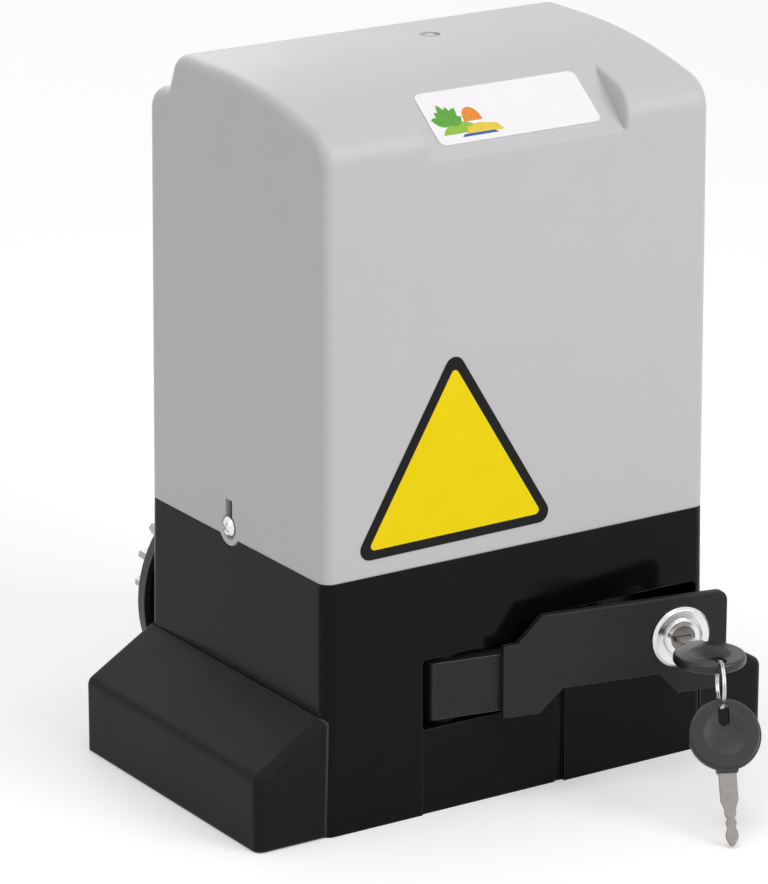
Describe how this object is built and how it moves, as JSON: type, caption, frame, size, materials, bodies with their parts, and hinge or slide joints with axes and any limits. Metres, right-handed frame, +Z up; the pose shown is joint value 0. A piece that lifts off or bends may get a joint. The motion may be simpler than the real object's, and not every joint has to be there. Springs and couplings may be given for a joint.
{
  "type": "sliding gate motor",
  "caption": "Upright motor unit that drives a sliding gate through a toothed pinion at its back, with a lift-off cover and a keyed release lever.",
  "frame": {"origin": "middle of the base's footprint between its two bolting feet, on the ground plane", "axes": "+Z up; -Y towards the release lever; +Y towards the pinion and the gate; +X to the right seen from the front"},
  "size_m": [0.272, 0.3073, 0.3252],
  "materials": {
    "cover_plastic": "light silver-grey moulded plastic, fine satin grain",
    "housing_black": "black gloss powder coat on cast aluminium",
    "foot_plastic": "matt black moulded plastic",
    "lever_black": "rough black coating",
    "lock_metal": "bright plated zinc",
    "key_steel": "nickel plated, worn",
    "key_plastic": "black moulded plastic",
    "ring_steel": "spring steel wire",
    "gear_steel": "zinc plated steel",
    "bronze": "machined bronze",
    "bearing_steel": "ground bearing steel",
    "core_steel": "stacked laminations",
    "copper": "varnished copper wire",
    "motor_alloy": "cast aluminium",
    "rubber_black": "black rubber",
    "zinc_sheet": "galvanised sheet",
    "board_green": "solder-masked laminate",
    "component_black": "moulded components",
    "terminal_green": "moulded terminals",
    "capacitor_can": "drawn aluminium can",
    "screw_steel": "zinc plated"
  },
  "bodies": {
    "base": {"base_housing": "housing_black", "motor_housing": "motor_alloy", "stator_core": "core_steel", "stator_windings": "copper", "motor_bolts": "screw_steel", "motor_lower_shield": "motor_alloy", "motor_upper_shield": "motor_alloy", "worm_bearings": "bearing_steel", "output_bearings": "bearing_steel", "gear_case_cover": "motor_alloy", "case_cover_screws": "screw_steel", "shaft_seal": "rubber_black", "pinion_guard": "component_black", "guard_screws": "screw_steel", "lever_pivot_pin": "gear_steel", "pivot_washers": "lever_black", "board_bracket": "zinc_sheet", "board_pillars": "gear_steel", "control_board": "board_green", "board_parts": "component_black", "terminal_blocks": "terminal_green", "run_capacitor": "capacitor_can", "capacitor_clip": "zinc_sheet", "transformer_core": "core_steel", "transformer_coil": "copper", "limit_sensor": "component_black", "duct_grommet": "rubber_black"},
    "cover": {"cover_shell": "cover_plastic", "cover_screws": "screw_steel", "screw_nuts": "screw_steel"},
    "foot_cover_left": {"foot_cover_left": "foot_plastic"},
    "foot_cover_right": {"foot_cover_right": "foot_plastic"},
    "lever": {"lever_arm": "lever_black", "lever_plate": "lever_black", "lever_rivets": "screw_steel", "lock_body": "lock_metal", "lock_nut": "lock_metal"},
    "lock_plug": {"lock_plug": "lock_metal", "lock_cam": "lock_metal", "cam_nut": "screw_steel"},
    "key": {"key_blade": "key_steel", "key_head": "key_plastic"},
    "key_ring": {"key_ring": "ring_steel"},
    "spare_key": {"spare_key_blade": "key_steel", "spare_key_head": "key_plastic"},
    "rotor": {"rotor_shaft": "gear_steel", "rotor_core": "core_steel"},
    "wheel": {"worm_wheel": "bronze", "wheel_bush": "bronze"},
    "output": {"output_shaft": "gear_steel", "rack_pinion": "gear_steel", "pinion_key": "gear_steel", "pinion_washer": "screw_steel", "pinion_nut": "screw_steel", "shaft_circlip": "screw_steel", "spring_seat": "gear_steel"},
    "clutch": {"clutch_ring": "gear_steel", "release_rod": "gear_steel", "clutch_cross_pin": "gear_steel", "clutch_spring": "ring_steel"}
  },
  "joints": [
    {"name": "cover_lift", "type": "slide", "parent": "base", "child": "cover", "axis": [0, 0, 1], "range_m": [0, 0.22]},
    {"name": "foot_cover_left_pull", "type": "slide", "parent": "base", "child": "foot_cover_left", "axis": [-1, 0, 0], "range_m": [0, 0.05]},
    {"name": "foot_cover_right_pull", "type": "slide", "parent": "base", "child": "foot_cover_right", "axis": [1, 0, 0], "range_m": [0, 0.05]},
    {"name": "lever_swing", "type": "hinge", "parent": "base", "child": "lever", "pos_m": [-0.035, -0.0625, 0.056], "axis": [0, 0, -1], "range_deg": [-10.5, 79.5]},
    {"name": "lock_turn", "type": "hinge", "parent": "lever", "child": "lock_plug", "pos_m": [0.07094, -0.0978, 0.0666], "axis": [-0.1822, -0.9833, 0], "range_deg": [0, 90]},
    {"name": "key_pull", "type": "slide", "parent": "lock_plug", "child": "key", "axis": [-0.1822, -0.9833, 0], "range_m": [0, 0.045]},
    {"name": "ring_turn", "type": "hinge", "parent": "key", "child": "key_ring", "pos_m": [0.06106, -0.14097, 0.05962], "axis": [-0.8829, 0.4695, 0], "continuous": true},
    {"name": "spare_key_swing", "type": "hinge", "parent": "key", "child": "spare_key", "pos_m": [0.06106, -0.14097, 0.05962], "axis": [-0.8829, 0.4695, 0], "range_deg": [0, 60]},
    {"name": "rotor_spin", "type": "hinge", "parent": "base", "child": "rotor", "pos_m": [0.007, -0.008, 0.15], "axis": [0, 0, 1], "continuous": true},
    {"name": "wheel_spin", "type": "hinge", "parent": "base", "child": "wheel", "pos_m": [-0.043, -0.008, 0.06], "axis": [0, 1, 0], "continuous": true},
    {"name": "output_spin", "type": "hinge", "parent": "base", "child": "output", "pos_m": [-0.043, 0.06, 0.06], "axis": [0, 1, 0], "continuous": true},
    {"name": "clutch_slide", "type": "slide", "parent": "output", "child": "clutch", "axis": [0, 1, 0], "range_m": [-0.00048, 0.0036], "deforming": ["clutch_spring"]}
  ],
  "couplings": [
    {"joint": "wheel_spin", "follows": "rotor_spin", "ratio": 0.033333},
    {"joint": "output_spin", "follows": "rotor_spin", "ratio": 0.033333},
    {"joint": "clutch_slide", "follows": "lever_swing", "m_per_rad": 0.00255}
  ]
}
